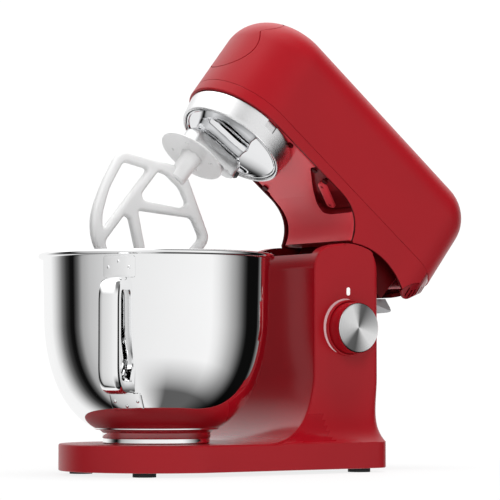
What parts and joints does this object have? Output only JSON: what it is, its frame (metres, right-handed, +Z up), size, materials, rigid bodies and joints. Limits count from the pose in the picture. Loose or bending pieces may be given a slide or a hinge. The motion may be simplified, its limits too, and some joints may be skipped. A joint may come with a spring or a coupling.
{
  "type": "stand mixer",
  "caption": "Tilt-head kitchen stand mixer with a planetary beater drive, a polished handled bowl, a side speed knob and a plinth with a column.",
  "frame": {"origin": "on the worktop, under the centre of the whole mixer's box with its head raised", "axes": "+Z up, -Y towards the nose and the bowl, +X towards the side with the speed knob"},
  "size_m": [0.2268, 0.473, 0.4454],
  "materials": {
    "satin_red": "satin red lacquer over die-cast aluminium",
    "red_plastic": "satin red lacquer over a moulding",
    "gloss_red": "high gloss red lacquer over a casting",
    "black_plastic": "fine matt texture",
    "rubber": "matt rubber",
    "zinc_steel": "turned and plated",
    "seat_metal": "as cast, satin",
    "polished_steel": "mirror-polished stainless steel",
    "chrome": "polished chrome plate",
    "spun_metal": "radially spun aluminium face",
    "pale_mark": "printed light grey",
    "lamp_lens": "translucent white",
    "board": "solder resist",
    "lever_grey": "satin grey",
    "bronze": "sintered bronze",
    "cast_grey": "light grey satin coat over die casting",
    "die_cast": "as cast",
    "copper_winding": "enamelled winding on laminated steel",
    "carbon": "carbon block in a black holder",
    "pulley_plastic": "moulded nylon"
  },
  "bodies": {
    "stand": {"pedestal": "satin_red", "bottom_cover": "black_plastic", "rubber_feet": "rubber", "base_screws": "zinc_steel", "bowl_seat": "seat_metal", "seat_screws": "zinc_steel", "hinge_bracket": "zinc_steel", "bracket_screws": "zinc_steel", "hinge_pin": "zinc_steel", "dial_bezel": "red_plastic", "dial_arc": "pale_mark", "speed_control": "black_plastic", "indicator_lens": "lamp_lens", "control_board": "board", "cord_grommet": "black_plastic", "lever_pin": "zinc_steel"},
    "lever": {"lift_lever": "lever_grey"},
    "knob": {"speed_knob": "red_plastic", "knob_cap": "spun_metal", "knob_shaft": "zinc_steel"},
    "bowl": {"mixing_bowl": "polished_steel", "bowl_foot": "polished_steel", "bowl_handle": "polished_steel"},
    "head": {"head_cover": "satin_red", "head_skirt": "satin_red", "head_frame": "gloss_red", "hinge_bushes": "bronze", "hub_ring": "chrome", "ring_tab": "lever_grey", "gearbox_housing": "die_cast", "ring_gear": "zinc_steel", "shaft_bearings": "bronze", "motor_frame": "die_cast", "motor_stator": "copper_winding", "carbon_brushes": "carbon", "motor_bearings": "zinc_steel", "drive_belt": "rubber", "outlet_bearing": "die_cast", "rear_vent": "black_plastic", "frame_screws": "zinc_steel"},
    "outlet_lid": {"outlet_cover": "red_plastic"},
    "hub": {"hub_dish": "chrome", "socket_block": "cast_grey", "hub_shaft": "zinc_steel", "hub_gear": "zinc_steel", "crown_gear": "zinc_steel", "planet_bearings": "bronze"},
    "beater": {"k_beater": "cast_grey", "splash_guard": "cast_grey", "beater_shaft": "zinc_steel", "planet_pinion": "zinc_steel"},
    "motor": {"motor_armature": "copper_winding", "motor_shaft": "zinc_steel", "motor_fan": "black_plastic", "motor_pulley": "zinc_steel"},
    "reduction": {"belt_pulley": "pulley_plastic", "pinion_shaft": "zinc_steel"},
    "outlet": {"outlet_shaft": "zinc_steel"}
  },
  "joints": [
    {"name": "head_tilt", "type": "hinge", "parent": "stand", "child": "head", "pos_m": [0, 0.065, 0.148], "axis": [1, 0, 0], "range_deg": [0, 38.5]},
    {"name": "lever_press", "type": "hinge", "parent": "stand", "child": "lever", "pos_m": [0.0365, 0.086, 0.146], "axis": [-1, 0, 0], "range_deg": [0, 12], "stiffness_Nm_per_rad": 0.35, "springref_deg": -5.73},
    {"name": "knob_turn", "type": "hinge", "parent": "stand", "child": "knob", "pos_m": [0.07, 0.066, 0.141], "axis": [1, 0, 0], "range_deg": [-240, 30]},
    {"name": "bowl_twist", "type": "hinge", "parent": "stand", "child": "bowl", "pos_m": [0, -0.12, 0.03], "axis": [0, 0, 1], "range_deg": [0, 25]},
    {"name": "cover_pull", "type": "slide", "parent": "head", "child": "outlet_lid", "axis": [0, -0.7826, 0.6225], "range_m": [0, 0.03]},
    {"name": "hub_spin", "type": "hinge", "parent": "head", "child": "hub", "pos_m": [0, -0.02874, 0.32734], "axis": [0, 0.6225, 0.7826], "continuous": true},
    {"name": "beater_spin", "type": "hinge", "parent": "hub", "child": "beater", "pos_m": [-0.0174, -0.04386, 0.33937], "axis": [0, 0.6225, 0.7826], "continuous": true},
    {"name": "reduction_spin", "type": "hinge", "parent": "head", "child": "reduction", "pos_m": [0, 0.02829, 0.32031], "axis": [0, 0.6225, 0.7826], "continuous": true},
    {"name": "motor_spin", "type": "hinge", "parent": "head", "child": "motor", "pos_m": [0, 0.14788, 0.27629], "axis": [0, 0.6225, 0.7826], "continuous": true},
    {"name": "outlet_spin", "type": "hinge", "parent": "head", "child": "outlet", "pos_m": [0, -0.00739, 0.40236], "axis": [0, -0.7826, 0.6225], "continuous": true}
  ],
  "couplings": [
    {"joint": "beater_spin", "follows": "hub_spin", "ratio": -3},
    {"joint": "reduction_spin", "follows": "hub_spin", "ratio": -4},
    {"joint": "motor_spin", "follows": "hub_spin", "ratio": -12},
    {"joint": "outlet_spin", "follows": "hub_spin", "ratio": 2}
  ]
}
